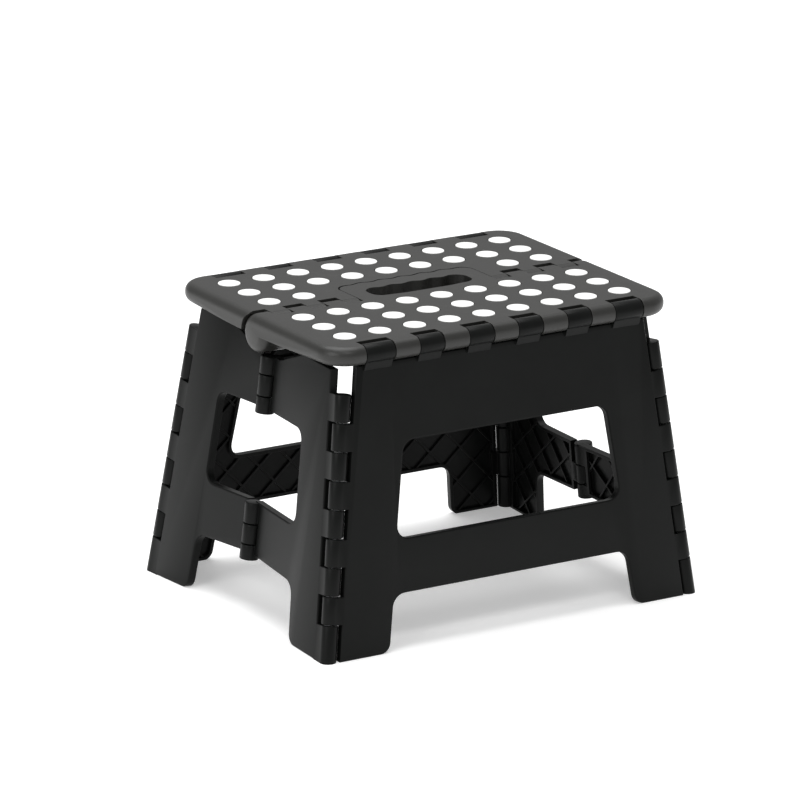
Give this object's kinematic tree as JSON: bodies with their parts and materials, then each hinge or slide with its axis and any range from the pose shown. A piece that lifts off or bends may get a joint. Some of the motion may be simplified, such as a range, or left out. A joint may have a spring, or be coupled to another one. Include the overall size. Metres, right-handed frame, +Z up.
{
  "type": "folding step stool",
  "caption": "Low folding plastic step stool with a dotted non-slip deck, a hand slot and slanted leg and end panels that fold flat on knuckle hinges.",
  "frame": {"origin": "on the floor, under the middle of the deck", "axes": "+X along the deck's long side, +Y to the rear, away from the side that the hand slot's straight edge faces, +Z up"},
  "size_m": [0.3156, 0.248, 0.2203],
  "materials": {
    "black_plastic": "satin, fine moulded grain",
    "pin_steel": "plain drawn wire",
    "white_rubber": "matte, smooth"
  },
  "bodies": {
    "front_leg": {"front_leg_panel": "black_plastic", "front_edge_hinge_pin": "pin_steel", "left_front_corner_pin": "pin_steel", "right_front_corner_pin": "pin_steel"},
    "front_deck": {"front_deck": "black_plastic", "left_seam_hinge_pin": "pin_steel", "right_seam_hinge_pin": "pin_steel", "front_grip_row_1": "white_rubber", "front_grip_row_2": "white_rubber", "front_grip_row_3": "white_rubber"},
    "rear_deck": {"rear_deck": "black_plastic", "rear_grip_row_1_left": "white_rubber", "rear_grip_row_1_right": "white_rubber", "rear_grip_row_2": "white_rubber", "rear_grip_row_3": "white_rubber"},
    "rear_leg": {"rear_leg_panel": "black_plastic", "rear_edge_hinge_pin": "pin_steel", "left_rear_corner_pin": "pin_steel", "right_rear_corner_pin": "pin_steel"},
    "left_front_end": {"left_end_front_panel": "black_plastic"},
    "left_rear_end": {"left_end_rear_panel": "black_plastic"},
    "right_front_end": {"right_end_front_panel": "black_plastic"},
    "right_rear_end": {"right_end_rear_panel": "black_plastic"}
  },
  "joints": [
    {"name": "fold", "type": "hinge", "parent": "front_leg", "child": "front_deck", "pos_m": [0, -0.101, 0.213], "axis": [1, 0, 0], "range_deg": [0, 74]},
    {"name": "seam_hinge", "type": "hinge", "parent": "front_deck", "child": "rear_deck", "pos_m": [0, 0, 0.206], "axis": [1, 0, 0], "range_deg": [-158, 0]},
    {"name": "rear_edge_hinge", "type": "hinge", "parent": "rear_deck", "child": "rear_leg", "pos_m": [0, 0.101, 0.213], "axis": [1, 0, 0], "range_deg": [0, 75]},
    {"name": "left_front_corner_hinge", "type": "hinge", "parent": "front_leg", "child": "left_front_end", "pos_m": [-0.1518, -0.118, 0], "axis": [0.1212, 0.1078, 0.9868], "range_deg": [-77, 0]},
    {"name": "right_front_corner_hinge", "type": "hinge", "parent": "front_leg", "child": "right_front_end", "pos_m": [0.1518, -0.118, 0], "axis": [-0.1212, 0.1078, 0.9868], "range_deg": [0, 77]},
    {"name": "left_rear_corner_hinge", "type": "hinge", "parent": "rear_leg", "child": "left_rear_end", "pos_m": [-0.1518, 0.118, 0], "axis": [0.1212, -0.1078, 0.9868], "range_deg": [0, 77]},
    {"name": "right_rear_corner_hinge", "type": "hinge", "parent": "rear_leg", "child": "right_rear_end", "pos_m": [0.1518, 0.118, 0], "axis": [-0.1212, -0.1078, 0.9868], "range_deg": [-77, 0]}
  ],
  "couplings": [
    {"joint": "seam_hinge", "follows": "fold", "ratio": -2.132},
    {"joint": "rear_edge_hinge", "follows": "fold", "ratio": 1},
    {"joint": "left_front_corner_hinge", "follows": "fold", "ratio": -1.04},
    {"joint": "right_front_corner_hinge", "follows": "fold", "ratio": 1.04},
    {"joint": "left_rear_corner_hinge", "follows": "fold", "ratio": 1.04},
    {"joint": "right_rear_corner_hinge", "follows": "fold", "ratio": -1.04}
  ]
}
